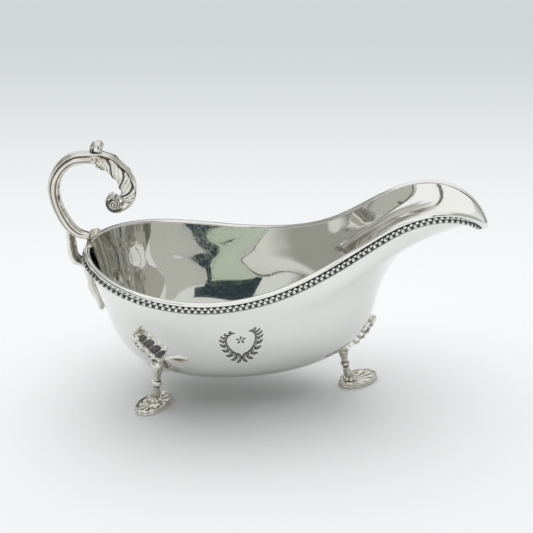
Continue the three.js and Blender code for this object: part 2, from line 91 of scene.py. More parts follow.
def unit(vectors):
    return vectors / np.linalg.norm(vectors, axis=-1, keepdims=True)


def smooth(low, high, value):
    share = np.clip((value - low) / (high - low), 0, 1)
    return share * share * (3 - 2 * share)


def mix(start, end, share):
    return start + (end - start) * share


def peak(value, centre, width):
    # One at the centre, falling away as a bell of the given width
    return np.exp(-(((value - centre) / width) ** 2))


def cubic(knots, values, startSlope=None, endSlope=None):
    # Curve through the given points with continuous curvature; an end without a slope is left free
    knots = np.asarray(knots, float)
    single = np.ndim(values) == 1
    values = np.asarray(values, float).reshape(len(knots), -1)
    spans = np.diff(knots)
    slopes = np.diff(values, axis=0) / spans[:, None]
    count = len(knots)
    matrix = np.zeros((count, count))
    bends = np.zeros((count, values.shape[1]))
    inner = np.arange(1, count - 1)
    matrix[inner, inner - 1] = spans[:-1]
    matrix[inner, inner] = 2 * (spans[:-1] + spans[1:])
    matrix[inner, inner + 1] = spans[1:]
    bends[inner] = 6 * np.diff(slopes, axis=0)
    matrix[0, 0] = matrix[-1, -1] = 1
    if startSlope is not None:
        matrix[0, :2] = 2 * spans[0], spans[0]
        bends[0] = 6 * (slopes[0] - startSlope)
    if endSlope is not None:
        matrix[-1, -2:] = spans[-1], 2 * spans[-1]
        bends[-1] = 6 * (endSlope - slopes[-1])
    bends = np.linalg.solve(matrix, bends)

    def at(where):
        where = np.asarray(where, float)
        span = np.clip(np.searchsorted(knots, where, side="right") - 1, 0, count - 2)
        ahead = ((where - knots[span]) / spans[span])[..., None]
        left = 1 - ahead
        bow = (left**3 - left) * bends[span] + (ahead**3 - ahead) * bends[span + 1]
        result = left * values[span] + ahead * values[span + 1] + bow * spans[span][..., None] ** 2 / 6
        return result[..., 0] if single else result

    return at


def profile(pairs):
    # Shares of the way out and of the way up, at equal levels; the way up starts flat
    shares = np.array(pairs, float)
    knots = np.linspace(0, 1, len(pairs))
    return cubic(knots, shares[:, 0]), cubic(knots, shares[:, 1], startSlope=0)


frontOut, frontUp = profile(hull["front"])
sideOut, sideUp = profile(hull["side"])
backOut, backUp = profile(hull["back"])


def levelShape(level):
    # A level curve is x = middle + lengthways cos t + egg cos 2t, y = breadth sin t
    keel = hull["keelShift"]
    frontX = keel + frontOut(level) * (halfLength - keel)
    backX = keel - backOut(level) * (halfLength + keel)
    beamX = keel + hull["beamShift"] * np.sin(np.asarray(level) * math.pi / 2)
    centre = (frontX + backX) / 2
    return (centre + beamX) / 2, (centre - beamX) / 2, (frontX - backX) / 2, sideOut(level) * halfWidth


rimMiddle, rimEgg, rimReach, rimBreadth = [float(value) for value in levelShape(1.0)]


def edgeAngle(x):
    # Angle on the edge, from the tip at 0 to the back at pi, of a place along the boat
    root = np.sqrt(np.maximum(rimReach**2 - 8 * rimEgg * (rimMiddle - rimEgg - x), 0))
    return np.arccos(np.clip((root - rimReach) / (4 * rimEgg), -1, 1))


def edgeCurves():
    # Half breadth and height of the edge by its angle, through the stations from the tip to the back
    stations = [station + [hull["spoutRise"]] for station in hull["spoutStations"]]
    stations += [station + [hull["backRise"]] for station in hull["backStations"]]
    along, side, climb, rise = np.array(stations, float).T
    angles = edgeAngle(along * halfLength)
    blunt = np.where(along > 0, hull["tipBluntness"], hull["backBluntness"])
    fullness = np.where(side > 0, side / np.maximum(np.sin(angles), 1e-6), blunt)
    heights = hull["waistHeight"] + climb * rise
    return cubic(angles, fullness * halfWidth, 0, 0), cubic(angles, heights, 0, 0)


edgeBreadth, edgeHeight = edgeCurves()


def hullPoint(angle, level):
    # The sides draw in to follow the edge late on the way up, and every height is a share of the edge's
    angle, level = np.broadcast_arrays(np.asarray(angle, float), np.asarray(level, float))
    middle, egg, reach, breadth = levelShape(level)
    cosine = np.cos(angle)
    x = middle + reach * cosine + egg * np.cos(2 * angle)
    below = edgeAngle(x)
    toFront = np.maximum(cosine, 0) ** 2
    toBack = np.maximum(-cosine, 0) ** 2
    up = toFront * frontUp(level) + toBack * backUp(level) + (1 - toFront - toBack) * sideUp(level)
    drawnIn = (edgeBreadth(below) - rimBreadth) * level ** hull["throatPower"]
    keel = hull["keelHeight"]
    return np.stack([x, np.sin(angle) * (breadth + drawnIn), keel + (edgeHeight(below) - keel) * up], axis=-1)


def hullFrame(angle, level):
    # Place on the outside, outward normal and direction up the wall
    step = 0.002
    angle, level = np.broadcast_arrays(np.asarray(angle, float), np.asarray(level, float))
    high = np.minimum(level + step, 1)
    along = (hullPoint(angle + step, level) - hullPoint(angle - step, level)) / (2 * step)
    climb = hullPoint(angle, high) - hullPoint(angle, high - 2 * step)
    out = unit(np.cross(along, climb))
    return hullPoint(angle, level), out, unit(np.cross(out, along))


fineAngles = np.linspace(0, tau, 2881)
edgeRun = np.cumsum(np.linalg.norm(np.diff(hullPoint(fineAngles, 1.0), axis=0), axis=1))
edgeRun = np.concatenate([[0], edgeRun])


def edgeSteps(count, within=0.0):
    # Angles of equal steps along the edge, each moved on by the given shares of a step
    places = (np.arange(count)[:, None] + within) / count % 1
    return np.interp(places.reshape(-1) * edgeRun[-1], edgeRun, fineAngles)


def frameBelow(angle, drop):
    # Halving search for the level that lies a given distance below the edge, square to it
    edge, _, up = hullFrame(angle, 1.0)
    low = np.full(np.shape(angle), 0.8)
    high = np.full(np.shape(angle), 1.0)
    for _ in range(24):
        level = (low + high) / 2
        deep = ((edge - hullPoint(angle, level)) * up).sum(-1) > drop
        low = np.where(deep, level, low)
        high = np.where(deep, high, level)
    return hullFrame(angle, high)


def fullTurn(count):
    # Angles round a section, as one row
    return (np.arange(count) / count * tau)[None]


def tube(rings, looped=False, tips=(None, None), patinaAndShade=0.0):
    # Closed skin through a row of rings; an open row ends in a fan about a tip or the ring's middle.
    # The faces are turned outwards by the sign of the enclosed volume.
    rows, count = rings.shape[:2]
    patinaAndShade = np.broadcast_to(patinaAndShade, (rows, count))
    points, depths = rings.reshape(-1, 3), patinaAndShade.reshape(-1)
    near = np.arange(rows if looped else rows - 1)[:, None] * count
    far = (near + count) % (rows * count)
    here = np.arange(count)
    after = (here + 1) % count
    quads = np.stack([near + here, near + after, far + after, far + here], axis=-1).reshape(-1, 4)
    fans = np.zeros((0, 3), int)
    if not looped:
        middles = [rings[end].mean(0) if tip is None else tip for end, tip in zip((0, -1), tips)]
        points = np.vstack([points, middles])
        depths = np.concatenate([depths, [patinaAndShade[0].mean(), patinaAndShade[-1].mean()]])
        first, last = rows * count, (rows - 1) * count
        fans = np.vstack([
            np.stack([np.full(count, first), after, here], axis=-1),
            np.stack([np.full(count, first + 1), last + here, last + after], axis=-1),
        ])
    corners = np.vstack([quads[:, [0, 1, 2]], quads[:, [0, 2, 3]], fans])
    a, b, c = (points[corners[:, i]] for i in range(3))
    if (a * np.cross(b, c)).sum() < 0:
        quads, fans = quads[:, ::-1], fans[:, ::-1]
    return {"points": points, "quads": quads, "fans": fans, "patinaAndShade": depths}


def sheet(top, bottom, patinaAndShade=0.0):
    # Closed plate between two grids of the same size
    depths = np.broadcast_to(patinaAndShade, top.shape[:2])
    depths = np.concatenate([depths, depths[:, ::-1]], axis=1)
    return tube(np.concatenate([top, bottom[:, ::-1]], axis=1), patinaAndShade=depths)


def ball(centre, radii, rows, count, patinaAndShade=0.0):
    # Rings at equal turns from pole to pole about Z
    turn = ((np.arange(rows) + 0.5) / rows * math.pi)[:, None]
    around = fullTurn(count)
    directions = [np.sin(turn) * np.cos(around), np.sin(turn) * np.sin(around), np.cos(turn)]
    rings = np.stack(np.broadcast_arrays(*directions), axis=-1)
    radii, centre = np.asarray(radii, float), np.asarray(centre, float)
    poles = [centre + radii * [0, 0, 1], centre - radii * [0, 0, 1]]
    return tube(centre + radii * rings, tips=poles, patinaAndShade=patinaAndShade)


def bar(stops, sizes, side, index):
    # Frames along a smooth path through the stops: places, outward and sideways directions, thickness and
    # width. The index counts the stops; the path itself is measured by the distances between them.
    stops = np.asarray(stops, float)
    run = np.concatenate([[0], np.cumsum(np.linalg.norm(np.diff(stops, axis=0), axis=1))])
    path = cubic(run, stops)
    where = np.interp(index, np.arange(len(run)), run)
    ahead = unit(path(where + 0.05) - path(where - 0.05))
    out = unit(np.cross(ahead, np.broadcast_to(side, ahead.shape)))
    across = np.cross(out, ahead)
    size = cubic(np.arange(len(stops)), np.asarray(sizes, float))(index)
    return path(where)[:, None], out[:, None], across[:, None], size[:, :1], size[:, 1:]


def barSkin(frames, around, outward=1.0, sideward=1.0):
    # Rings about a bar: half its thickness times the cosine outwards, half its width times the sine sideways
    place, out, across, thick, wide = frames
    rise = thick / 2 * outward * np.cos(around)
    reach = wide / 2 * sideward * np.sin(around)
    return place + out * rise[..., None] + across * reach[..., None]


def makePiece(name, skins, finish, node=None, sharpAngle=None):
    # Joins closed skins into one mesh in metres and gives it to the frame
    offsets = np.cumsum([0] + [len(skin["points"]) for skin in skins[:-1]])
    points = (np.vstack([skin["points"] for skin in skins]) + [shiftX, 0, 0]) / 1000
    depths = np.concatenate([skin["patinaAndShade"] for skin in skins]).astype(np.float32)
    faces = []
    for skin, offset in zip(skins, offsets):
        faces += (skin["quads"] + offset).tolist() + (skin["fans"] + offset).tolist()
    mesh = bpy.data.meshes.new(name)
    mesh.from_pydata(points.tolist(), [], faces)
    mesh.attributes.new("patinaAndShade", "FLOAT", "POINT").data.foreach_set("value", depths)
    mesh.polygons.foreach_set("use_smooth", np.ones(len(faces), bool))
    if sharpAngle:
        mesh.set_sharp_from_angle(angle=math.radians(sharpAngle))
    mesh.materials.append(finish)
    mesh.update()
    piece = bpy.data.objects.new(name, mesh)
    bpy.context.scene.collection.objects.link(piece)
    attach(piece, "root")
    if node:
        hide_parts(node)
    print(name, "faces", len(faces))


class Value:
    # A node's output; sums and products of values add their Math nodes
    def __init__(self, shader, socket):
        self.shader, self.socket = shader, socket

    def maths(self, operation, first, second):
        return self.shader.node("Math", {"operation": operation}, {0: first, 1: second})

    def __add__(self, other):
        return self.maths("ADD", self, other)

    def __radd__(self, other):
        return self.maths("ADD", other, self)

    def __sub__(self, other):
        return self.maths("SUBTRACT", self, other)

    def __rsub__(self, other):
        return self.maths("SUBTRACT", other, self)

    def __mul__(self, other):
        return self.maths("MULTIPLY", self, other)

    def __rmul__(self, other):
        return self.maths("MULTIPLY", other, self)

    def __pow__(self, other):
        return self.maths("POWER", self, other)

    def __rpow__(self, other):
        return self.maths("POWER", other, self)

    def __abs__(self):
        return self.shader.node("Math", {"operation": "ABSOLUTE"}, {0: self})


class Shader:
    # A node tree under construction
    def __init__(self, owner):
        owner.use_nodes = True
        self.tree = owner.node_tree
        self.tree.nodes.clear()

    def node(self, kind, settings=None, inputs=None, output=0):
        made = self.tree.nodes.new("ShaderNode" + kind)
        for name, value in (settings or {}).items():
            setattr(made, name, value)
        for name, value in (inputs or {}).items():
            if isinstance(value, Value):
                self.tree.links.new(value.socket, made.inputs[name])
            else:
                made.inputs[name].default_value = value
        return Value(self, made.outputs[output])

    def blend(self, factor, first, second):
        return self.node("Mix", {"data_type": "RGBA"}, {0: factor, 6: first, 7: second}, 2)

    def ramp(self, value, low, high):
        # Smooth step between two values
        inputs = {"Value": value, "From Min": low, "From Max": high}
        return self.node("MapRange", {"interpolation_type": "SMOOTHSTEP"}, inputs)

    def place(self, turn=(0, 0, 0)):
        objectPlace = self.node("TexCoord", output="Object")
        return self.node("Mapping", None, {"Vector": objectPlace, "Rotation": turn})

    def stretch(self, vector, shares):
        return self.node("VectorMath", {"operation": "MULTIPLY"}, {0: vector, 1: shares})

    def noise(self, place, scale, detail=2.0):
        return self.node("TexNoise", None, {"Vector": place, "Scale": scale, "Detail": detail})

    def bump(self, height, distance, strength=1.0, below=None):
        inputs = {"Strength": strength, "Distance": distance, "Height": height}
        if below:
            inputs["Normal"] = below
        return self.node("Bump", None, inputs)

    def link(self, surface, output):
        last = self.tree.nodes.new("ShaderNodeOutput" + output)
        self.tree.links.new(surface.socket, last.inputs["Surface"])


def scratches(shader, turn, scale):
    # Fine long lines: a stretched noise shows a line wherever it crosses its middle value
    stretched = shader.stretch(shader.place(turn), (1, 14, 9))
    return 1 - shader.ramp(abs(shader.noise(stretched, scale, 1.0) - 0.5), 0.0, 0.006)


scratchSets = [((0.3, 0.5, 0.9), 26), ((1.1, 0.2, 2.1), 31), ((0.2, 1.3, 0.4), 38)]


def silver(name, look):
    # Polished metal with a wavy hammered surface and fine wear, darker and rougher where each point's
    # darkening value is high: real patina in hollows, and painted shade and painted highlights where a piece
    # sets that value by how light falls
    material = bpy.data.materials.new(name)
    shader = Shader(material)
    patinaAndShade = shader.node("Attribute", {"attribute_name": "patinaAndShade"}, None, "Fac")
    plain = shader.place()
    patches = shader.ramp(shader.noise(plain, look["cloudScale"], 3.0), 0.35, 0.75)
    fine = shader.noise(plain, 900)
    first, second, third = (scratches(shader, turn, scale) for turn, scale in scratchSets)
    lines = first + second + third
    # deep: how far each point is darkened, by patina in hollows and by painted shade and highlights, made
    # ragged by fine noise
    deep = shader.ramp(patinaAndShade + (fine - 0.5) * look["ragged"], 0.12, 0.95)
    bright = shader.blend(patches * look["patches"], look["bright"], look["tarnish"])
    colour = shader.blend(shader.ramp(deep, 0.0, 0.6), bright, look["patinaAndShadeColour"])
    colour = shader.blend(shader.ramp(deep, 0.6, 1.0), colour, look["blackTarnishAndShade"])
    wear = patches * look["patchRoughness"] + lines * look["scratch"] + deep * look["hollowRoughness"]
    waves = shader.bump(shader.noise(plain, look["waveScale"], 1.0), look["waveHeight"])
    marks = shader.bump(lines + fine * 0.4, look["markHeight"], below=waves)
    inputs = {"Base Color": colour, "Metallic": 1.0, "Roughness": look["roughness"] + wear, "Normal": marks}
    shader.link(shader.node("BsdfPrincipled", None, inputs), "Material")
    return material


# Body
bodyLook = {
    "bright": (0.84, 0.845, 0.82, 1),
    "tarnish": (0.755, 0.76, 0.73, 1),
    # The two darker colours are where the darkening leads: patina and black tarnish in hollows, and also
    # painted shade wherever a piece paints it
    "patinaAndShadeColour": (0.34, 0.3, 0.22, 1),
    "blackTarnishAndShade": (0.05, 0.055, 0.06, 1),
    "patches": 0.6,
    "cloudScale": 22,
    "ragged": 0.2,
    "roughness": 0.022,
    "patchRoughness": 0.02,
    "scratch": 0.12,
    "hollowRoughness": 0.3,
    "waveScale": 30,
    "waveHeight": 0.00001,
    "markHeight": 0.0000008,
}
bodyMesh = {"rings": 96, "columns": 320, "crowding": 0.85}
polishedSilver = silver("polishedSilver", bodyLook)


def boatBody():
    # Rings of the outside from the bottom to the edge, then of the inside back down, one wall further in
    share = np.arange(1, bodyMesh["rings"] + 1) / bodyMesh["rings"]
    levels = np.sin(share * math.pi / 2) ** bodyMesh["crowding"]
    places, out, _ = hullFrame(edgeSteps(bodyMesh["columns"])[None], levels[:, None])
    inside = places - out * hull["wall"]
    keel = np.array([hull["keelShift"], 0, hull["keelHeight"]])
    tips = (keel, keel + [0, 0, hull["wall"]])
    return tube(np.concatenate([places, inside[::-1]]), tips=tips)


makePiece("boatBody", [boatBody()], polishedSilver, "body", 60)

# Border
border = {
    "edgeWidth": 2.6,
    "edgeHeight": 1.2,
    "edgeSeat": 0.42,
    "edgeUnderside": 0.3,
    "beadDiameter": 2.0,
    "beadPitch": 2.66,
    "beadNeck": 0.34,  # the neck between two beads, as a share of the bead's radius
    "filletDiameter": 0.9,
    "steps": 480,
}
borderLook = {
    **bodyLook,
    "bright": (0.84, 0.845, 0.82, 1),
    "tarnish": (0.7, 0.7, 0.66, 1),
    "patinaAndShadeColour": (0.3, 0.32, 0.285, 1),
    "blackTarnishAndShade": (0.07, 0.075, 0.07, 1),
    "patches": 0.7,
    "cloudScale": 60,
    "ragged": 0.4,
    "roughness": 0.12,
    "waveScale": 300,
    "waveHeight": 0.00002,
    "markHeight": 0.000003,
}
borderSilver = silver("borderSilver", borderLook)


def trim(angles, drop, outwards, upwards, patinaAndShade=0.0):
    # A section given by distances outwards and upwards from the boat's outside, carried round below its edge
    places, out, up = (part[:, None] for part in frameBelow(angles, drop))
    outwards, upwards = np.broadcast_arrays(outwards, upwards)
    return tube(places + out * outwards[..., None] + up * upwards[..., None], looped=True, patinaAndShade=patinaAndShade)


def edgeWire():
    # Flattened half-round on the body's edge, with a rounded underside
    around = fullTurn(20)
    across = border["edgeWidth"] / 2 * np.cos(around) - hull["wall"] / 2
    height = np.where(np.sin(around) > 0, border["edgeHeight"], border["edgeUnderside"])
    return trim(edgeSteps(border["steps"]), 0, across, border["edgeSeat"] + height * np.sin(around))


def beadedWire():
    # Each bead is seven rings of a ball and an eighth at the neck between the beads. Its colour holds a
    # painted highlight, a bright spot on the upper outside of each bead, and painted shade that grows away
    # from it, deepest in the necks and on the side turned away from the spot.
    beads = int(round(edgeRun[-1] / border["beadPitch"]))
    inBead = np.array([-0.5, -0.34, -0.27, -0.15, 0, 0.15, 0.27, 0.34])
    angles = edgeSteps(beads, inBead)
    radius = border["beadDiameter"] / 2
    neck = (border["beadNeck"] * radius) ** 2
    ring = np.sqrt(np.maximum(radius**2 - (inBead * border["beadPitch"]) ** 2, neck))
    ring = np.tile(ring, beads)[:, None]
    around = fullTurn(8)
    ahead = np.tile(np.abs(inBead) / 0.34, beads)[:, None]
    turned = np.abs((around - 0.3 + math.pi) % tau - math.pi) / 1.35
    fromSpot = smooth(0.25, 0.95, np.hypot(ahead, turned))
    patinaAndShade = 0.6 * fromSpot + 0.25 * smooth(0.6, 0.4, ring / radius) + 0.2 * smooth(1.2, 1.8, turned)
    outwards, upwards = seam + radius + ring * np.cos(around), ring * np.sin(around)
    return trim(angles, radius + seam, outwards, upwards, np.clip(patinaAndShade, 0, 1))


def filletWire():
    # Plain round wire under the beads, darkened to grey all round, with painted shade on its upper side in
    # the crevice under the beads
    radius = border["filletDiameter"] / 2
    drop = border["beadDiameter"] + 2 * seam + radius
    around = fullTurn(8)
    patinaAndShade = 0.42 + 0.4 * smooth(0.3, 0.9, np.sin(around))
    outwards = seam * 0.5 + radius + radius * np.cos(around)
    return trim(edgeSteps(border["steps"]), drop, outwards, radius * np.sin(around), patinaAndShade)


makePiece("edgeWire", [edgeWire()], polishedSilver, "rim_edge_wire")
makePiece("beadedWire", [beadedWire()], borderSilver, "beaded_wire")
makePiece("filletWire", [filletWire()], borderSilver, "fillet_wire")

# Handle
handle = {
    "height": 44.8,
    "thickness": 5.4,
    "width": 6.8,
    # share forwards, share upwards, share of the thickness, share of the width
    "stops": [
        [0.036, 0.143, 0.52, 0.62], [-0.055, 0.168, 0.71, 0.74], [-0.15, 0.253, 0.85, 0.82],
        [-0.203, 0.35, 0.88, 0.87], [-0.243, 0.46, 0.87, 0.92], [-0.264, 0.58, 0.93, 0.95],
        [-0.258, 0.7, 0.99, 0.98], [-0.218, 0.803, 0.98, 1], [-0.134, 0.905, 0.97, 1],
        [-0.035, 0.957, 0.98, 1], [0.068, 0.967, 0.95, 0.96], [0.16, 0.965, 1.06, 0.88],
        [0.255, 0.94, 1.12, 0.82], [0.35, 0.868, 1.13, 0.78], [0.425, 0.768, 1.13, 0.78],
        [0.459, 0.66, 1.1, 0.8], [0.452, 0.56, 0.92, 0.82], [0.41, 0.486, 0.74, 0.86],
        [0.348, 0.443, 0.6, 0.9], [0.29, 0.434, 0.5, 0.92], [0.245, 0.472, 0.42, 0.93],
        [0.243, 0.54, 0.36, 0.93], [0.285, 0.578, 0.3, 0.92],
    ],
    "grooveDepth": 0.24,
    "squareness": 2.5,
    "eye": [0.302, 0.508],
    "eyeRadius": 2.24,
    "eyeDome": 0.6,
}
castLook = {
    **bodyLook,
    "bright": (0.82, 0.81, 0.775, 1),
    "tarnish": (0.64, 0.615, 0.545, 1),
    "patinaAndShadeColour": (0.37, 0.325, 0.24, 1),
    "blackTarnishAndShade": (0.09, 0.1, 0.108, 1),
    "patches": 0.8,
    "cloudScale": 90,
    "ragged": 0.35,
    "roughness": 0.1,
    "patchRoughness": 0.08,
    "hollowRoughness": 0.25,
    "waveScale": 260,
    "waveHeight": 0.00004,
    "markHeight": 0.000003,
}
castSilver = silver("castSilver", castLook)
backEdge = hullPoint(math.pi, 1.0)
handleStops = np.array(handle["stops"])
sideways = np.array([0.0, 1.0, 0.0])


def fromBack(forwards, upwards):
    # Place in the handle's plane, as shares of its height from the boat's back edge
    forwards, upwards = np.broadcast_arrays(np.asarray(forwards, float), np.asarray(upwards, float))
    return backEdge + handle["height"] * np.stack([forwards, np.zeros_like(forwards), upwards], axis=-1)


def scrollFrames(index):
    sizes = handleStops[:, 2:] * [handle["thickness"], handle["width"]]
    return bar(fromBack(handleStops[:, 0], handleStops[:, 1]), sizes, sideways, index)


def fromOuter(around):
    # Angle away from a section's outer line, to either side
    return np.abs((around + math.pi) % tau - math.pi)


def scroll():
    # Rounded section: three reeds up the back and over the crest, then a smooth spine beside the leaf.
    # Along counts the handle's stops, and turn is the angle from the outer line.
    index = np.linspace(0, len(handleStops) - 1, 300)
    around = fullTurn(72)
    turn = fromOuter(around)
    along = index[:, None]
    fluted = smooth(-0.3, 0.9, along) * (1 - smooth(10.3, 11, along))
    grooves = (peak(turn, 1.05, 0.17) + 0.9 * peak(turn, 2.0, 0.17)) * fluted
    chain = peak(along, 4.8, 1.6) * peak(turn, 2.5, 0.3) * (0.55 + 0.45 * np.cos(along * 5.2))
    spine = peak(turn, 1.02, 0.12) * smooth(10.6, 11.4, along) * (1 - smooth(17.2, 18.2, along))
    crevice = peak(turn, 1.57, 0.55) * smooth(16.6, 18.4, along) * (1 - smooth(20.8, 21.6, along))
    radial = 1 - handle["grooveDepth"] * (grooves + 0.8 * chain + 1.1 * spine)
    power = handle["squareness"]
    section = radial * (np.abs(np.cos(around)) ** power + np.abs(np.sin(around)) ** power) ** (-1 / power)
    # outer: painted shade, a darker band along each side of the outer line up the back and over the crest,
    # where there is no groove
    outer = 0.3 * peak(turn, 0.5, 0.4) * smooth(11.5, 9.5, along)
    patinaAndShade = np.clip(outer + 0.75 * grooves + 0.8 * chain + 0.8 * spine + 1.1 * crevice, 0, 1)
    return tube(barSkin(scrollFrames(index), around, section, section * (1 - 0.28 * crevice)), patinaAndShade=patinaAndShade)


def voluteEye():
    # Domed disc across the scroll's end with a spiral groove in both faces
    centre = fromBack(*handle["eye"])
    around = fullTurn(48)
    reach = (np.append(np.linspace(0.03, 0.97, 22), 1) * handle["eyeRadius"])[:, None]
    winding = sum(peak(reach, 0.62 + 0.95 * (around / tau + lap), 0.2) for lap in (-1, 0, 1, 2))
    dome = handle["eyeDome"] * np.cos(reach / handle["eyeRadius"] * math.pi / 2)
    height = 0.44 * handle["width"] + dome - 0.6 * winding
    x, z = centre[0] + reach * np.cos(around), centre[2] + reach * np.sin(around)
    near, far = (np.stack(np.broadcast_arrays(x, side * height, z), axis=-1) for side in (-1, 1))
    patinaAndShade = np.clip(winding * 1.2, 0, 1)
    return tube(np.concatenate([near, far[::-1]]), patinaAndShade=np.concatenate([patinaAndShade, patinaAndShade[::-1]]))


leaf = {
    "start": 11,  # stops of the scroll that it covers
    "end": 16.6,
    "thickness": 1.3,
    "wrap": 125,
    "lobes": 4,
    "creviceDepth": 0.62,
    "veinDepth": 0.24,
    "marginHeight": 0.12,
    "rootBalls": (1.35, 1.15),
}


def leafCap():
    # Acanthus leaf round the inner side of the falling scroll. Its long lobes run from the spine down
    # to overlapping tips on the inner line, each with two fine veins.
    share = np.linspace(0, 1, 220)
    place, out, across, thick, wide = scrollFrames(mix(leaf["start"], leaf["end"], share))
    share = share[:, None]
    beside = np.linspace(-1, 1, 73)[None]
    aside = np.abs(beside)
    inLobe = np.mod(share * leaf["lobes"] + 1.7 * aside - 0.35 * aside**2, 1)
    crevice = peak(inLobe, 0.02, 0.07) + peak(inLobe, 1.02, 0.07)
    veins = peak(inLobe, 0.36, 0.05) + peak(inLobe, 0.68, 0.05)
    end = np.sqrt(np.clip(1 - np.clip((share - 0.86) / 0.14, 0, 1) ** 2, 0.01, 1))
    end = end * smooth(-0.05, 0.05, share)
    reach = math.radians(leaf["wrap"]) * (0.95 + 0.05 * np.cos(tau * leaf["lobes"] * share)) * end
    tips = (0.75 * inLobe**1.6 - 0.25) * peak(aside, 0, 0.34)
    margin = smooth(0.82, 0.97, aside)
    lift = seam + leaf["thickness"] * (1 - 0.4 * aside**3) + tips - leaf["creviceDepth"] * crevice
    lift = lift - leaf["veinDepth"] * veins * (1 - margin) + leaf["marginHeight"] * margin
    turn = reach * beside

    def layer(height):
        inwards = (thick / 2 + height) * np.cos(turn)
        sidewards = (wide / 2 + height) * np.sin(turn)
        return place - out * inwards[..., None] + across * sidewards[..., None]

    patinaAndShade = np.clip(1.1 * crevice + 0.5 * veins + 0.5 * smooth(0.93, 1, aside), 0, 1)
    skins = [sheet(layer(np.maximum(lift, 0.3)), layer(np.full_like(lift, 0.05)), patinaAndShade)]
    root = scrollFrames(leaf["start"] + np.array([-0.15, 0.35]))
    for side in (-1, 1):
        for number, size in enumerate(leaf["rootBalls"]):
            rootPlace, rootOut, rootAcross = (part[number, 0] for part in root[:3])
            centre = rootPlace + rootAcross * side * 3 - rootOut * (0.3 + 1.1 * number)
            skins.append(ball(centre, (size, 0.8, size), 8, 14, patinaAndShade=0.1))
    return skins


thumb = {
    "foot": [0.16, 0.968],
    # shares forwards and millimetres above the crest
    "curl": [[0.118, -0.6], [0.12, 1.1], [0.133, 2.5], [0.17, 3.35], [0.205, 2.75], [0.2, 1.9], [0.18, 1.6]],
    "thickness": [1.7, 1.8, 2.1, 2.5, 2.5, 2.1, 1.4],
    "width": [3.2, 3.6, 4.2, 4.6, 4.8, 4.7, 4.4],
    "ribs": 5,
    "ribDepth": 0.14,
}


def thumbPiece():
    # Ribbed leaf tip that stands up from the crest and curls over into a filled knob
    crest = fromBack(*thumb["foot"])[2] + handle["thickness"] / 2
    stops = np.array([[fromBack(forwards, 0)[0], 0, crest + rise] for forwards, rise in thumb["curl"]])
    sizes = np.stack([thumb["thickness"], thumb["width"]], axis=1)
    index = np.linspace(0, len(stops) - 1, 60)
    around = fullTurn(48)
    ribs = 0.5 - 0.5 * np.cos(thumb["ribs"] * math.pi * np.sin(around))
    radial = 1 - thumb["ribDepth"] * ribs * smooth(-0.1, 0.4, np.cos(around))
    inner = smooth(0.1, 0.8, -np.cos(around)) * 0.9
    neck = smooth(2.2, 0.6, index[:, None])
    patinaAndShade = np.clip(inner + neck * 0.6 + 0.5 * ribs * (np.cos(around) > 0), 0, 1)
    return tube(barSkin(bar(stops, sizes, sideways, index), around, radial), patinaAndShade=patinaAndShade)


strut = {
    "thickness": 4.8,
    "width": 4.4,
    # clear of the boat: shares forwards and upwards, and of the thickness
    "free": [
        [-0.14, 0.225, 0.78], [-0.147, 0.147, 0.82], [-0.14, 0.03, 0.92],
        [-0.135, -0.045, 0.95], [-0.105, -0.105, 0.95],
    ],
    # on its back wall: level, gap as a share of the thickness, share of the thickness
    "wall": [
        [0.87, 0.12, 0.87], [0.79, 0.04, 0.82], [0.72, 0.04, 0.85], [0.66, 0.16, 0.88], [0.6, 0.06, 0.82],
        [0.55, 0.1, 0.68], [0.53, 0.3, 0.52],
    ],
    "wallWidth": 0.85,
    "hollowDepth": 0.24,
    "ridgeDepth": 0.16,
    "spur": 0.3,
}


def bracket():
    # Strut from the underside of the scroll past the beads to the wall, with hollow sides, an outer ridge,
    # a spur where it turns in, and a wavy tail that hangs down the wall; along counts the stops
    stops, shares = [], []
    for forwards, upwards, share in strut["free"]:
        stops.append(fromBack(forwards, upwards))
        shares.append([share, 1])
    for level, gap, share in strut["wall"]:
        stops.append(hullPoint(math.pi, level) - [seam + (gap + share / 2) * strut["thickness"], 0, 0])
        shares.append([share, strut["wallWidth"]])
    index = np.linspace(0, len(stops) - 1, 180)
    frames = bar(stops, np.array(shares) * [strut["thickness"], strut["width"]], sideways, index)
    around = fullTurn(48)
    along = index[:, None]
    upper = smooth(5.4, 4.6, along)
    waist = peak(np.cos(around), 0.35, 0.42) * smooth(0.3, 0.8, np.abs(np.sin(around)))
    ridge = peak(np.sin(around) ** 2, 0.35, 0.16) * smooth(0, 0.4, np.cos(around))
    spur = strut["spur"] * peak(along, 4.15, 0.3) * smooth(0.5, 1, -np.cos(around))
    narrow = 1 - (0.42 * upper + strut["hollowDepth"]) * waist
    radial = 1 - strut["ridgeDepth"] * ridge + spur
    patinaAndShade = np.clip((0.45 + 0.3 * upper) * waist + 0.35 * ridge, 0, 1)
    return tube(barSkin(frames, around, radial, narrow), patinaAndShade=patinaAndShade)


boss = {
    "length": 5.6,
    "width": 5,
    "thickness": 3.4,
    "tilt": -22,
    "place": [0.09, 0.175],
    "notchDepth": 0.2,
    "veinDepth": 0.08,
    "stem": 3,
    "stemTop": 0.16,
    "stemWaist": 0.5,
}


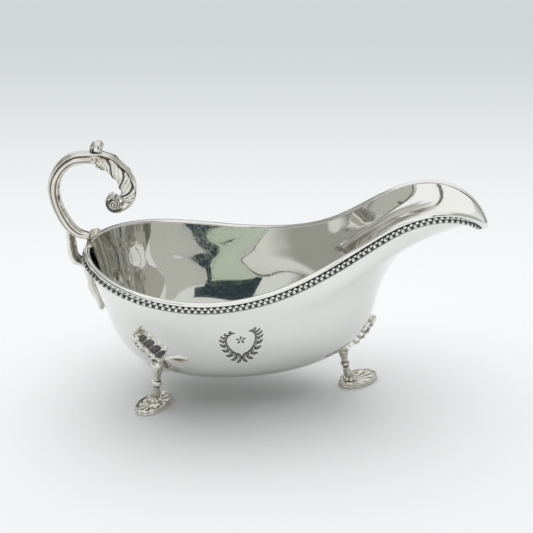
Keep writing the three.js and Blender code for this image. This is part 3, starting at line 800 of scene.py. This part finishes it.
def rimBoss():
    # Leaf bud with a notch down its middle and veins to both sides, on a short waisted stem
    turn, around = np.broadcast_arrays((np.arange(26) + 0.5)[:, None] / 26 * math.pi, fullTurn(40))
    along = np.cos(turn)
    beside = np.sin(turn) * np.cos(around)
    above = np.sin(turn) * np.sin(around)
    aside = np.abs(beside)
    notch = peak(beside, 0, 0.13) * smooth(-0.4, 0.5, above)
    veins = (0.5 + 0.5 * np.cos(9 * (along + 0.8 * aside))) * smooth(0, 0.5, above) * smooth(0.1, 0.4, aside)
    radial = 1 - boss["notchDepth"] * notch - boss["veinDepth"] * veins
    sizes = [boss["length"] / 2, boss["width"] / 2, boss["thickness"] / 2]
    x, y, z = (part * size * radial for part, size in zip((along, beside, above), sizes))
    tilt = math.radians(boss["tilt"])
    turned = [x * math.cos(tilt) + z * math.sin(tilt), y, z * math.cos(tilt) - x * math.sin(tilt)]
    budHollow = np.clip(notch + 0.5 * veins, 0, 1)
    bud = tube(np.stack(turned, axis=-1) + fromBack(*boss["place"]), patinaAndShade=budHollow)
    seat = backEdge[2] + border["edgeSeat"] + border["edgeHeight"] - 0.3
    heights = np.linspace(seat, fromBack(0, boss["stemTop"])[2], 14)[:, None]
    share = (heights - seat) / (heights[-1] - seat)
    radius = boss["stem"] / 2 * (1.05 - boss["stemWaist"] * np.sin(math.pi * share) ** 1.5)
    middleX = backEdge[0] + boss["stem"] / 2 - 0.2
    around = fullTurn(24)
    stem = np.broadcast_arrays(middleX + radius * np.cos(around), radius * np.sin(around), heights)
    return [bud, tube(np.stack(stem, axis=-1), patinaAndShade=0.75 * np.sin(math.pi * share))]


makePiece("scrollHandle", [scroll(), voluteEye()], castSilver, "handle_scroll", 70)
makePiece("acanthusLeaf", leafCap(), castSilver, "handle_leaf_cap", 60)
makePiece("thumbCurl", [thumbPiece()], castSilver, "handle_thumb_piece", 60)
makePiece("handleBracket", [bracket()], castSilver, "handle_bracket", 60)
makePiece("rimBoss", rimBoss(), castSilver, "handle_rim_boss", 60)

# Feet
knee = {
    "thickness": 2.8,
    "shellWidth": 12.2,
    "rows": 150,
    "columns": 61,
    "cells": 5,
    "cellDepth": 0.75,
    "frameHeight": 0.35,
    "tailDip": 0.6,
    "knobRise": 0.91,  # share of the way up the shell
    "knobAside": 1.2,
    "knobStand": 2.2,
    "knobRadii": (1.7, 1.7, 1.9),
    # its middle line up the boat, as angles and levels
    "frontLine": [[0, 0.27], [0, 0.325], [0, 0.385], [0, 0.455]],
    "rearLine": [[100.8, 0.452], [113.4, 0.44], [119.4, 0.492], [126.6, 0.572]],
}
shank = {
    "width": 4.3,
    # shares of the way down and of the width there
    "profile": [
        [0, 1.4], [0.16, 1.16], [0.34, 0.8], [0.48, 0.86], [0.62, 0.76], [0.78, 1.0], [0.9, 0.9], [1, 1.2],
    ],
    "knotSize": 0.3,
    "fluteDepth": 0.14,
    "balls": 8,
    "ballRadii": (1.15, 1.15, 1.2),
    "ballReach": 2.5,
    "ballRise": 1.35,
}
pad = {
    "thickness": 1.6,
    "rim": 0.6,
    "length": 20,
    "width": 12,
    "lobes": 11,
    "lobeDepth": 0.025,
    "fluteDepth": 0.85,
    "hub": 0.8,
    "hubWidth": 6.2,
}
rear = {"ankleX": -57.5, "ankleY": 18, "heading": 132, "lead": 0.9, "top": [119, 0.43]}
# Where each foot stands: "top" is where the leg meets the boat, as an angle and a level, and "lead" is how
# far the pad's middle lies ahead of the ankle
feet = [{
    "name": "front",
    "node": "front",
    "knee": knee["frontLine"],
    "top": [0, 0.3],
    "upperSide": -1,
    "ankle": [31, 0],
    "heading": 30,
    "lead": 4.6,
}]
for name, node, side in (("rearRight", "rear_right", -1), ("rearLeft", "rear_left", 1)):
    feet.append({
        "name": name,
        "node": node,
        "knee": [[side * angle, level] for angle, level in knee["rearLine"]],
        "top": [side * rear["top"][0], rear["top"][1]],
        "upperSide": side,
        "ankle": [rear["ankleX"], side * rear["ankleY"]],
        "heading": side * rear["heading"],
        "lead": rear["lead"],
    })
padTop = pad["thickness"] + pad["hub"]


def kneeGrid(foot, rise, aside):
    # Places and normals on the boat at given distances to each side of the knee's middle line, square to it
    line = np.array(foot["knee"], float)
    knots = [0, 0.3, 0.62, 1]
    angleAt, levelAt = cubic(knots, np.radians(line[:, 0])), cubic(knots, line[:, 1])
    step = 0.002
    angle, level = angleAt(rise), levelAt(rise)
    middle, out, _ = hullFrame(angle, level)
    byAngle = (hullPoint(angle + step, level) - hullPoint(angle - step, level)) / (2 * step)
    byLevel = (hullPoint(angle, level + step) - hullPoint(angle, level - step)) / (2 * step)
    ahead = hullPoint(angleAt(rise + step), levelAt(rise + step)) - middle
    across = unit(np.cross(out, ahead))
    toLevel, toAngle = np.cross(byLevel, out), np.cross(byAngle, out)
    turn = (across * toLevel).sum(-1) / (byAngle * toLevel).sum(-1)
    climb = (across * toAngle).sum(-1) / (byLevel * toAngle).sum(-1)
    return hullFrame(angle + turn * aside, level + climb * aside)[:2]


def kneeShell(foot):
    # A pointed leaf tail, then a shell of two columns of hollow cells in raised frames, lying up the boat
    rise = np.linspace(0, 1, knee["rows"])[:, None]
    across = np.linspace(-1, 1, knee["columns"])[None]
    aside = np.abs(across)
    opened = smooth(0.27, 0.4, rise)
    crown = np.sqrt(np.maximum(1 - np.maximum((rise - 0.77) / 0.21, 0) ** 2, 0.01))
    bays = (rise - 0.3) / 0.64 * knee["cells"] + 0.5 * (across > 0)
    lobes = 0.5 - 0.5 * np.cos(tau * bays)
    tail = 0.25 + 2.1 * np.sin(math.pi * np.clip(rise / 0.3, 0, 1)) ** 0.8
    half = mix(tail, knee["shellWidth"] / 2 * crown * (0.93 + 0.07 * lobes), opened)
    places, out = kneeGrid(foot, rise, across * half)
    inBay = (np.mod(bays + 0.18 * (1 - aside), 1) - 0.5) * 2
    roundness = (inBay * 1.12) ** 4 + np.abs((aside - 0.52) / 0.46) ** 4
    cell = smooth(1.1, 0.85, roundness) * opened * smooth(0.32, 0.4, rise) * smooth(0.94, 0.88, rise)
    raised = peak(roundness, 1.4, 0.3) * opened
    dip = smooth(0.75, 0.1, aside) * peak(rise, 0.13, 0.09)
    thick = knee["thickness"] * (0.38 + 0.62 * opened * (0.35 + 0.65 * crown)) * (1 - 0.62 * aside**2.4)
    lift = thick + knee["frameHeight"] * raised - knee["cellDepth"] * cell - knee["tailDip"] * dip
    # Painted shade and reflection: on the rear feet the cells of the column toward the foot's upper side are
    # dark throughout and those of the other column shade from one end of each cell to the other; on the front
    # foot every cell is dark. The flanks darken towards their edges as painted shade too.
    darkColumn = (across * foot["upperSide"] > 0) | (foot["name"] == "front")
    shade = np.where(darkColumn, 0.82, 0.1 + 0.6 * smooth(-0.2, 0.6, inBay))
    flank = 0.24 * smooth(0.8, 0.95, aside) * opened
    patinaAndShade = np.clip(shade * cell + flank + 0.48 * dip + 0.35 * smooth(0.24, 0.05, rise), 0, 1)
    top = places + out * np.maximum(lift, 0.35)[..., None]
    knobAside = np.array([knee["knobAside"] * foot["upperSide"]])
    crownPlace, crownOut = kneeGrid(foot, np.array([knee["knobRise"]]), knobAside)
    knob = ball(crownPlace[0] + crownOut[0] * knee["knobStand"], knee["knobRadii"], 10, 18)
    return [sheet(top, places - out * 0.15, patinaAndShade), knob]


def underside(x, y, angle, level):
    # Newton steps to the place on the outside with a given x and y; returns its height
    angle, level, step = np.full_like(x, angle), np.full_like(x, level), 1e-4
    for _ in range(9):
        place = hullPoint(angle, level)
        byAngle = (hullPoint(angle + step, level) - place) / step
        byLevel = (hullPoint(angle, level + step) - place) / step
        missX, missY = x - place[..., 0], y - place[..., 1]
        area = byAngle[..., 0] * byLevel[..., 1] - byAngle[..., 1] * byLevel[..., 0]
        angle = angle + np.clip((missX * byLevel[..., 1] - missY * byLevel[..., 0]) / area, -0.2, 0.2)
        climb = np.clip((byAngle[..., 0] * missY - byAngle[..., 1] * missX) / area, -0.05, 0.05)
        level = np.clip(level + climb, 0.02, 0.9)
    return hullPoint(angle, level)[..., 2]


def legAndCollar(foot):
    # Tapering shank with a ring half way down, cut off at the boat, and a ring of balls at the ankle;
    # along counts the stops
    angle, level = math.radians(foot["top"][0]), foot["top"][1]
    heading = math.radians(foot["heading"])
    start, out, _ = hullFrame(angle, level)
    top = start + out * knee["thickness"] / 2
    ankle = np.array([*foot["ankle"], padTop - 0.2])
    drops, shares = np.array(shank["profile"]).T
    stops = mix(top, ankle, drops[:, None] ** 1.6)
    stops[:, 2] = mix(top[2], ankle[2], drops)
    widths = shares * shank["width"]
    side = np.array([-math.sin(heading), math.cos(heading), 0])
    index = np.linspace(0, len(stops) - 1, 80)
    around = fullTurn(40)
    turn = fromOuter(around)
    along = index[:, None]
    rings = peak(along, 2.55, 0.1) + peak(along, 3.45, 0.1)
    flute = peak(turn, 1.0, 0.25) * smooth(0.3, 1, along) * smooth(2.6, 2.2, along)
    lower = peak(turn, 0.9, 0.22) * smooth(3.6, 4.1, along) * smooth(6.2, 5.6, along)
    dome = np.sqrt(np.clip(1 - np.clip((0.45 - along) / 0.45, 0, 1) ** 2, 0.02, 1))
    knot = shank["knotSize"] * peak(along, 3, 0.3) - 0.12 * rings
    radial = (1 + knot - shank["fluteDepth"] * (flute + lower)) * dome
    frames = bar(stops, np.stack([0.9 * widths, widths], axis=1), side, index)
    skin = barSkin(frames, around, radial, radial)
    limit = underside(skin[..., 0], skin[..., 1], angle, level) + 0.3
    skin[..., 2] = np.minimum(skin[..., 2], np.where(along < 4, limit, 1e3))
    ringShade = 0.8 * (peak(along, 2.5, 0.1) + peak(along, 3.5, 0.1))
    # Painted shade: the half of the shank turned away from the toe is darker. It is darker too in its flutes,
    # in the grooves beside the ring, and at its foot inside the ring of balls.
    patinaAndShade = 0.4 * smooth(0.5, 1.6, turn) + 0.45 * (flute + lower) + ringShade + 0.6 * smooth(6.2, 6.8, along)
    skins = [tube(skin, patinaAndShade=np.clip(patinaAndShade, 0, 1))]
    for step in range(shank["balls"]):
        way = heading + (step + 0.5) / shank["balls"] * tau
        reach = shank["ballReach"]
        centre = ankle + [reach * math.cos(way), reach * math.sin(way), shank["ballRise"]]
        skins.append(ball(centre, shank["ballRadii"], 6, 9, patinaAndShade=0.12))
    return skins


def shellPad(foot):
    # Lobed oval with a double edge; sunk flutes run out from the hub under the leg, which stands off its
    # middle
    turn = fullTurn(176)
    heading = math.radians(foot["heading"])
    ahead = np.array([math.cos(heading), math.sin(heading)])
    aside = np.array([-math.sin(heading), math.cos(heading)])
    lobe = 1 + pad["lobeDepth"] * np.cos(pad["lobes"] * turn)
    edge = foot["lead"] * ahead + (pad["length"] / 2 * lobe * np.cos(turn))[..., None] * ahead
    edge = edge + (pad["width"] / 2 * lobe * np.sin(turn))[..., None] * aside
    thickness, rim = pad["thickness"], pad["rim"]
    # the side from the table up: share of the oval and height
    side = np.array([
        [0.95, 0], [0.985, 0.25], [1, 0.65], [0.985, 1.0], [0.955, 1.15], [0.965, 1.35], [0.985, 1.6],
        [0.985, thickness + rim * 0.6], [0.965, thickness + rim],
    ])
    face = np.linspace(0.95, 0.02, 60)
    ridges = rim * peak(face, 0.95, 0.03) + 0.55 * rim * peak(face, 0.86, 0.022)
    scale = np.concatenate([side[:, 0], face])[:, None]
    height = np.concatenate([side[:, 1], thickness + ridges])[:, None]
    onFace = (np.arange(len(scale)) >= len(side))[:, None]
    fromAnkle = np.linalg.norm(edge, axis=-1) * scale / pad["hubWidth"]
    height = height + pad["hub"] * smooth(0.62, 0.42, fromAnkle) * onFace
    rays = smooth(-0.2, 0.7, np.cos(pad["lobes"] * turn))
    flute = rays * smooth(0.6, 0.75, fromAnkle) * smooth(0.84, 0.76, scale) * onFace
    flat = np.array(foot["ankle"]) + edge * scale[..., None]
    rings = np.concatenate([flat, (height - pad["fluteDepth"] * flute)[..., None]], axis=-1)
    gap = peak(scale, 0.905, 0.018) * onFace + peak(height, 1.15, 0.08) * (1 - onFace)
    patinaAndShade = np.clip(0.75 * flute + 0.7 * gap + 0.35 * smooth(0.7, 0.5, fromAnkle) * onFace, 0, 1)
    return tube(rings, tips=(None, np.array([*foot["ankle"], padTop])), patinaAndShade=patinaAndShade)


for foot in feet:
    name, node = foot["name"], foot["node"]
    makePiece(name + "KneeShell", kneeShell(foot), castSilver, node + "_knee_shell", 70)
    makePiece(name + "Leg", legAndCollar(foot), castSilver, node + "_leg", 60)
    makePiece(name + "Pad", [shellPad(foot)], castSilver, node + "_pad", 45)

# Engraved wreath on the near side: two laurel sprays about a small flower, drawn with thin dark strokes
wreath = {
    "angle": -77,
    "level": 0.582,
    "radius": 7.6,
    "tall": 1.02,
    "stemTurns": [(284, 118), (-104, 62)],
    "stemSteps": 40,
    "stemWidth": 0.11,
    "leaves": 9,
    "firstLeaf": 3,  # in steps of the stem
    "leafPitch": 4.1,
    "leafLean": 0.62,
    "leafLength": 3.5,
    "leafWidth": 1.25,
    "petals": 5,
    "petalReach": (0.6, 2.3),
    "flowerPlace": [0, 0.4],
    "depth": 0.05,
}
engravedLook = {
    **bodyLook,
    "bright": (0.13, 0.13, 0.125, 1),
    "tarnish": (0.07, 0.07, 0.065, 1),
    "patches": 0.6,
    "cloudScale": 400,
    "roughness": 0.45,
}
engravedSilver = silver("engravedSilver", engravedLook)


def onHull(flat):
    # Lays a flat drawing, in millimetres across and up, on the boat's side about the wreath's middle
    angle, level, step = math.radians(wreath["angle"]), wreath["level"], 1e-3
    out = hullFrame(angle, level)[1]
    byAngle = (hullPoint(angle + step, level) - hullPoint(angle - step, level)) / (2 * step)
    byLevel = (hullPoint(angle, level + step) - hullPoint(angle, level - step)) / (2 * step)
    right = unit(np.array([1.0, 0, 0]) - out * out[0])
    up = np.cross(out, right)
    up = up * np.sign(up[2])
    matrix = np.array([[byAngle @ right, byLevel @ right], [byAngle @ up, byLevel @ up]])
    moved = flat @ np.linalg.inv(matrix).T
    return hullFrame(angle + moved[..., 0], level + moved[..., 1])[:2]


def stroke(middle, widths):
    # Thin plate along a drawn line, of a given half width at each of its points
    ahead = unit(np.gradient(middle, axis=0))
    aside = np.stack([-ahead[:, 1], ahead[:, 0]], axis=-1)
    beside = np.linspace(-1, 1, 3)[None, :, None]
    flat = middle[:, None] + aside[:, None] * beside * np.asarray(widths)[:, None, None]
    places, out = onHull(flat)
    return sheet(places + out * wreath["depth"], places - out * wreath["depth"])


def engraving():
    # Every leaf is two curved strokes that meet at both ends
    skins = []
    share = np.linspace(0, 1, 9)
    lens = np.sin(math.pi * np.clip(share, 0.02, 0.98)) ** 0.9
    steps = np.arange(wreath["stemSteps"])
    for turns in wreath["stemTurns"]:
        sweep = np.radians(np.linspace(*turns, wreath["stemSteps"]))
        stem = wreath["radius"] * np.stack([np.cos(sweep), np.sin(sweep) * wreath["tall"]], axis=-1)
        skins.append(stroke(stem, np.full(len(stem), wreath["stemWidth"])))
        for number in range(wreath["leaves"]):
            at = wreath["firstLeaf"] + number * wreath["leafPitch"]
            ends = [[np.interp(step, steps, part) for part in stem.T] for step in (at, at + 1)]
            root, further = np.array(ends)
            ahead = unit(further - root)
            aside = np.array([-ahead[1], ahead[0]])
            for lean in (-wreath["leafLean"], wreath["leafLean"]):
                way = ahead * math.cos(lean) + aside * math.sin(lean)
                long = wreath["leafLength"] * (1 - 0.035 * number)
                bow = np.array([-way[1], way[0]]) * np.sign(lean)
                for half, weight in ((-1, 0.75), (1, 1)):
                    spread = 0.1 + half * 0.27 * wreath["leafWidth"]
                    line = root + np.outer(share * long, way) + np.outer(lens, bow) * spread
                    skins.append(stroke(line, 0.04 + 0.2 * wreath["leafWidth"] * lens * weight))
    for petal in range(wreath["petals"]):
        way = math.pi / 2 + petal / wreath["petals"] * tau
        line = np.outer(mix(*wreath["petalReach"], share), [math.cos(way), math.sin(way)])
        skins.append(stroke(line + wreath["flowerPlace"], 0.04 + 0.42 * lens))
    dot = np.outer(np.linspace(-0.35, 0.35, 9), [1, 0]) + wreath["flowerPlace"]
    skins.append(stroke(dot, 0.35 * lens))
    return skins


makePiece("engravedWreath", engraving(), engravedSilver)

# Camera, as the photograph was taken; focus and width in pixels, distance and aim in millimetres
view = {
    "azimuth": 0.42,
    "elevation": 28.46,
    "distance": 549.3,
    "focus": 1250,
    "width": 533,
    "sensor": 36,
    "aim": [-7.48, 0, 61.2],
}


def addCamera():
    azimuth, elevation = math.radians(view["azimuth"]), math.radians(view["elevation"])
    level = math.cos(elevation)
    back = Vector((math.sin(azimuth) * level, -math.cos(azimuth) * level, math.sin(elevation)))
    camera = bpy.data.objects.new("camera", bpy.data.cameras.new("camera"))
    camera.data.sensor_width = view["sensor"]
    camera.data.lens = view["sensor"] * view["focus"] / view["width"]
    camera.data.clip_start, camera.data.clip_end = 0.01, 20
    camera.location = (Vector(view["aim"]) + Vector((shiftX, 0, 0)) + back * view["distance"]) / 1000
    camera.rotation_mode = "QUATERNION"
    camera.rotation_quaternion = (-back).to_track_quat("-Z", "Y")
    bpy.context.scene.collection.objects.link(camera)
    bpy.context.scene.camera = camera


addCamera()
print("camera ready")

# Studio: a pale floor, soft light from above, and a room and cards that only the silver sees
studio = {
    "near": (0.865, 0.875, 0.875, 1),
    "middle": (0.875, 0.885, 0.885, 1),
    "far": (0.61, 0.635, 0.635, 1),
    "floorReach": 6,
    "sky": (0.985, 0.995, 1.0, 1),
    "skyLow": 0.18,
    "skyHigh": 2.5,
    "skyFrom": (-0.04, 0.28, 0.96),
    "roomFront": (1.0, 1.0, 0.985, 1),
    "roomBack": (0.84, 0.85, 0.84, 1),
    "roomLeft": (0.36, 0.35, 0.315, 1),
    "roomRight": (0.48, 0.48, 0.45, 1),
    "roomHigh": (1.0, 1.0, 0.985, 1),
    "roomStreak": (0.17, 0.16, 0.135, 1),
}
# Colour, millimetres behind the boat's middle, and corners along and up
cards = {
    "darkFarCard": [
        (0.035, 0.055, 0.065), 100,
        [[-84, 94], [-29.9, 94], [-29.9, 124], [-26, 131], [-16, 132], [-16, 152], [-84, 152]],
    ],
    "greenFarCard": [(0.58, 0.67, 0.54), 99.5, [[-79, 94], [-34, 94], [-34, 124], [-51, 116], [-76, 106]]],
    "greyFarCard": [
        (0.58, 0.58, 0.54), 101,
        [[-84, 55], [14, 55], [14, 112], [6, 130], [-29.5, 130], [-29.5, 94], [-84, 94]],
    ],
    "darkNearCard": [(0.14, 0.135, 0.115), -150, [[92, 100], [150, 100], [150, 200], [124, 226], [88, 226]]],
    "paleNearCard": [(0.75, 0.73, 0.66), -149, [[104, 150], [124, 150], [116, 215], [98, 215]]],
    "greyNearCard": [(0.54, 0.53, 0.49), -151, [[-115, 118], [-40, 118], [-40, 215], [-115, 215]]],
    "darkNearStrip": [(0.2, 0.2, 0.19), -152, [[46, 130], [55, 136], [-90, 320], [-101, 312]]],
}


def stageMesh(name, points, material):
    # One flat face of the stage, through its corners in order
    mesh = bpy.data.meshes.new(name)
    mesh.from_pydata(np.asarray(points).tolist(), [], [list(range(len(points)))])
    mesh.materials.append(material)
    prop = bpy.data.objects.new(name, mesh)
    bpy.context.scene.collection.objects.link(prop)
    return prop


def addFloor():
    # Wide flat floor, palest round the boat and greyer behind it and far off on every side; the greying is
    # painted shade, standing in for a backdrop that falls away from the light
    reach = studio["floorReach"]
    corners = [[-reach, -reach, 0], [reach, -reach, 0], [reach, reach, 0], [-reach, reach, 0]]
    material = bpy.data.materials.new("paleFloor")
    shader = Shader(material)
    depth = shader.node("SeparateXYZ", None, {0: shader.place()}, "Y")
    grain = shader.noise(shader.place(), 160, 3.0)
    distance = shader.node("VectorMath", {"operation": "LENGTH"}, {0: shader.place()}, "Value")
    colour = shader.blend(shader.ramp(depth, -0.15, 0.1), studio["near"], studio["middle"])
    colour = shader.blend(shader.ramp(depth, 0.08, 0.52), colour, studio["far"])
    colour = shader.blend(shader.ramp(distance, 0.8, 3.0), colour, studio["far"])
    surface = shader.node("BsdfDiffuse", None, {"Color": colour, "Normal": shader.bump(grain, 0.0002, 0.2)})
    shader.link(surface, "Material")
    stageMesh("floor", corners, material)


def addCards():
    # Upright cards beside the boat; no camera, shadow or bounced light sees them
    for name, (colour, behind, corners) in cards.items():
        material = bpy.data.materials.new(name)
        shader = Shader(material)
        shader.link(shader.node("Emission", None, {"Color": (*colour, 1), "Strength": 1.0}), "Material")
        points = [[shiftX + along, behind, height] for along, height in corners]
        prop = stageMesh(name, np.array(points) / 1000, material)
        prop.visible_camera = prop.visible_diffuse = prop.visible_shadow = prop.visible_transmission = False


def roomColour(shader, direction):
    # A room that is palest in front and overhead and grey at its sides, with upright streaks to the left
    ahead, toBack, upwards = (shader.node("SeparateXYZ", None, {0: direction}, axis) for axis in "XYZ")
    left = shader.ramp(ahead, -0.46, -0.58) * shader.ramp(upwards, 0.86, 0.74)
    corner = shader.ramp(ahead, -0.4, -0.47) * shader.ramp(upwards, 0.4, 0.32)
    stripes = shader.noise(shader.stretch(direction, (7, 7, 0.7)), 1.9)
    overhead = shader.ramp(upwards, 0.74, 0.88) * shader.ramp(abs(ahead), 0.55, 0.4)
    room = shader.blend(shader.ramp(toBack, -0.1, 0.3), studio["roomFront"], studio["roomBack"])
    layers = [
        (shader.ramp(ahead, 0.4, 0.6), "roomRight"),
        (corner, "roomLeft"),
        (left, "roomLeft"),
        (shader.ramp(stripes, 0.55, 0.68) * left, "roomHigh"),
        (shader.ramp(stripes, 0.46, 0.38) * left, "roomStreak"),
        (overhead, "roomHigh"),
    ]
    for share, part in layers:
        room = shader.blend(share, room, studio[part])
    return room


def addSky():
    # The floor sees soft light that grows towards one direction, the silver the room, the camera a plain tone
    world = bpy.data.worlds.new("studioSky")
    shader = Shader(world)
    direction = shader.node("TexCoord", output="Generated")
    inputs = {0: direction, 1: studio["skyFrom"]}
    toLight = shader.node("VectorMath", {"operation": "DOT_PRODUCT"}, inputs, "Value")
    glow = studio["skyLow"] + shader.ramp(toLight, 0.45, 1.0) ** 1.5 * (studio["skyHigh"] - studio["skyLow"])
    soft = shader.node("Background", None, {"Color": studio["sky"], "Strength": glow})
    room = shader.node("Background", None, {"Color": roomColour(shader, direction), "Strength": 1.0})
    behind = shader.node("Background", None, {"Color": studio["far"], "Strength": 1.0})
    glossy, camera = (shader.node("LightPath", output=ray) for ray in ("Is Glossy Ray", "Is Camera Ray"))
    unseen = shader.node("MixShader", None, {0: camera, 1: soft, 2: behind})
    shader.link(shader.node("MixShader", None, {0: glossy, 1: unseen, 2: room}), "World")
    bpy.context.scene.world = world


addFloor()
addCards()
addSky()
bpy.context.scene.view_settings.view_transform = "Standard"
print("studio ready")
